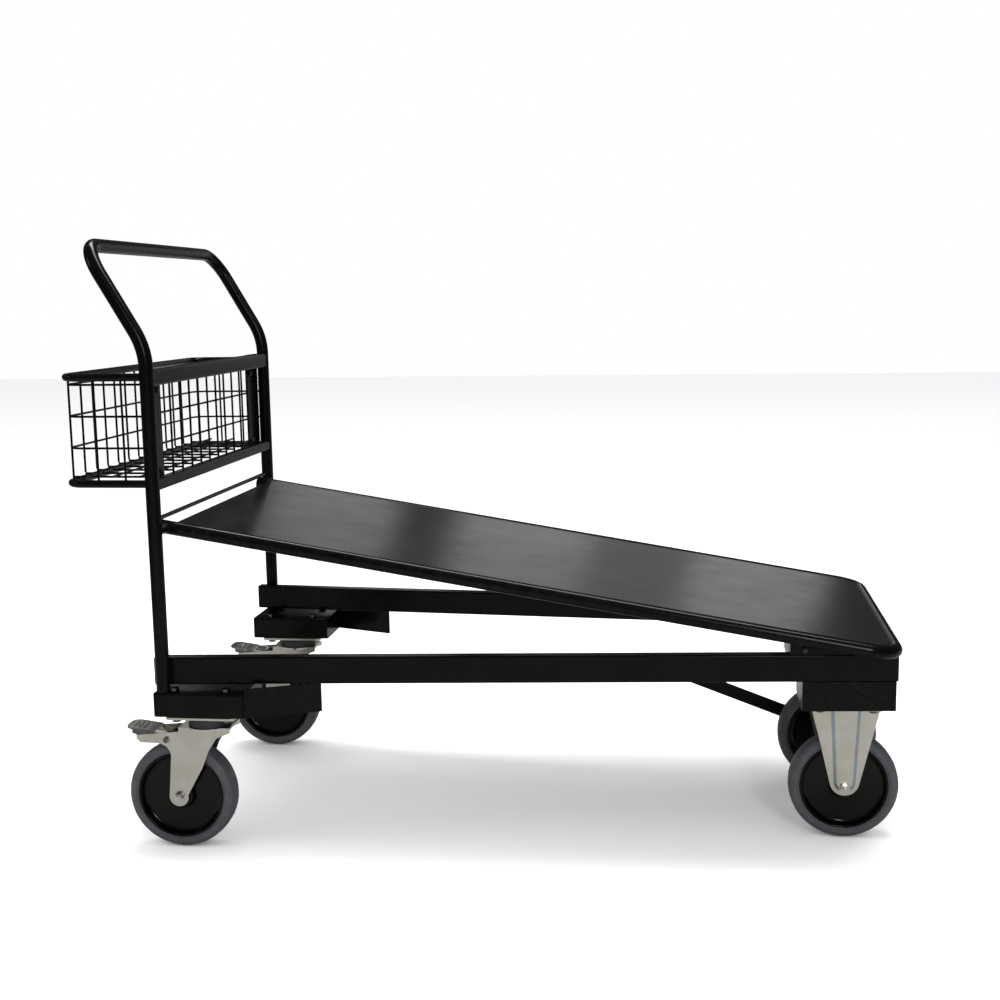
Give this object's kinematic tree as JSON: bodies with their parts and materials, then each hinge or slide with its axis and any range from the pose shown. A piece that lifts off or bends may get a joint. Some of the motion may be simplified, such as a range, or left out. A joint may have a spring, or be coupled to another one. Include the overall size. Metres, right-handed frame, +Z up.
{
  "type": "nesting platform trolley",
  "caption": "Nesting luggage trolley with a sloping flat deck, a wire basket behind a leaning push handle, fixed front casters and braked swivel rear casters.",
  "frame": {"origin": "middle of the trolley's outline on the floor, at rest with the rear casters trailing", "axes": "+X the way the trolley is pushed, +Y its left side, +Z up"},
  "size_m": [1.49, 0.696, 1.1086],
  "materials": {
    "black_coat": "semi-gloss powder coat",
    "deck_coat": "satin powder coat",
    "zinc_plate": "bright zinc plate",
    "bearing_steel": "turned steel",
    "black_screw": "black oxide",
    "rim_plastic": "glossy moulding",
    "black_plastic": "matt moulding",
    "tyre_rubber": "smooth elastic rubber"
  },
  "bodies": {
    "frame": {"handle_frame": "black_coat", "stop_rod": "black_coat", "side_beam_left": "black_coat", "side_beam_right": "black_coat", "beam_end_caps": "black_plastic", "rear_housing_left": "black_coat", "rear_housing_right": "black_coat", "front_housing_left": "black_coat", "front_housing_right": "black_coat", "housing_end_plates": "black_coat", "guide_plate_left": "black_coat", "guide_plate_right": "black_coat", "front_cross_member": "black_coat", "deck_tube": "black_coat", "deck_lugs": "black_coat", "deck_panel": "deck_coat", "deck_ribs": "deck_coat", "deck_supports": "black_coat", "screws": "black_screw", "basket_rim_top": "black_coat", "basket_rim_bottom": "black_coat", "basket_rail_top": "black_coat", "basket_rail_bottom": "black_coat", "basket_strips": "black_coat", "basket_mesh_front": "black_coat", "basket_mesh_back": "black_coat", "basket_mesh_sides": "black_coat", "basket_mesh_floor": "black_coat", "basket_corner_wires": "black_coat", "caster_bolts": "zinc_plate", "caster_nuts": "zinc_plate", "front_fork_left": "zinc_plate", "front_fork_right": "zinc_plate", "front_axles": "zinc_plate", "rear_plate_left": "zinc_plate", "rear_plate_right": "zinc_plate", "king_pins": "zinc_plate"},
    "rear_swivel_left": {"rear_fork_left": "zinc_plate", "seal_left": "black_plastic", "rear_axle_left": "zinc_plate"},
    "brake_pedal_left": {"pedal_left": "zinc_plate", "brake_shoe_left": "black_plastic"},
    "rear_wheel_left": {"rear_rim_left": "rim_plastic", "rear_tyre_left": "tyre_rubber", "rear_bearings_left": "bearing_steel"},
    "front_wheel_left": {"front_rim_left": "rim_plastic", "front_tyre_left": "tyre_rubber", "front_bearings_left": "bearing_steel"},
    "rear_swivel_right": {"rear_fork_right": "zinc_plate", "seal_right": "black_plastic", "rear_axle_right": "zinc_plate"},
    "brake_pedal_right": {"pedal_right": "zinc_plate", "brake_shoe_right": "black_plastic"},
    "rear_wheel_right": {"rear_rim_right": "rim_plastic", "rear_tyre_right": "tyre_rubber", "rear_bearings_right": "bearing_steel"},
    "front_wheel_right": {"front_rim_right": "rim_plastic", "front_tyre_right": "tyre_rubber", "front_bearings_right": "bearing_steel"},
    "foot_lever": {"foot_lever": "black_coat"}
  },
  "joints": [
    {"name": "swivel_left", "type": "hinge", "parent": "frame", "child": "rear_swivel_left", "pos_m": [-0.51, 0.292, 0.235], "axis": [0, 0, 1], "continuous": true},
    {"name": "pedal_hinge_left", "type": "hinge", "parent": "rear_swivel_left", "child": "brake_pedal_left", "pos_m": [-0.583, 0.292, 0.208], "axis": [0, -1, 0], "range_deg": [0, 12]},
    {"name": "roll_rear_left", "type": "hinge", "parent": "rear_swivel_left", "child": "rear_wheel_left", "pos_m": [-0.565, 0.292, 0.1], "axis": [0, 1, 0], "continuous": true},
    {"name": "roll_front_left", "type": "hinge", "parent": "frame", "child": "front_wheel_left", "pos_m": [0.645, 0.15, 0.1], "axis": [0, 1, 0], "continuous": true},
    {"name": "swivel_right", "type": "hinge", "parent": "frame", "child": "rear_swivel_right", "pos_m": [-0.51, -0.292, 0.235], "axis": [0, 0, 1], "continuous": true},
    {"name": "pedal_hinge_right", "type": "hinge", "parent": "rear_swivel_right", "child": "brake_pedal_right", "pos_m": [-0.583, -0.292, 0.208], "axis": [0, -1, 0], "range_deg": [0, 12]},
    {"name": "roll_rear_right", "type": "hinge", "parent": "rear_swivel_right", "child": "rear_wheel_right", "pos_m": [-0.565, -0.292, 0.1], "axis": [0, 1, 0], "continuous": true},
    {"name": "roll_front_right", "type": "hinge", "parent": "frame", "child": "front_wheel_right", "pos_m": [0.645, -0.15, 0.1], "axis": [0, 1, 0], "continuous": true},
    {"name": "foot_lever_hinge", "type": "hinge", "parent": "frame", "child": "foot_lever", "pos_m": [0.645, 0.186, 0.1], "axis": [0, 1, 0], "range_deg": [-8, 12]}
  ]
}
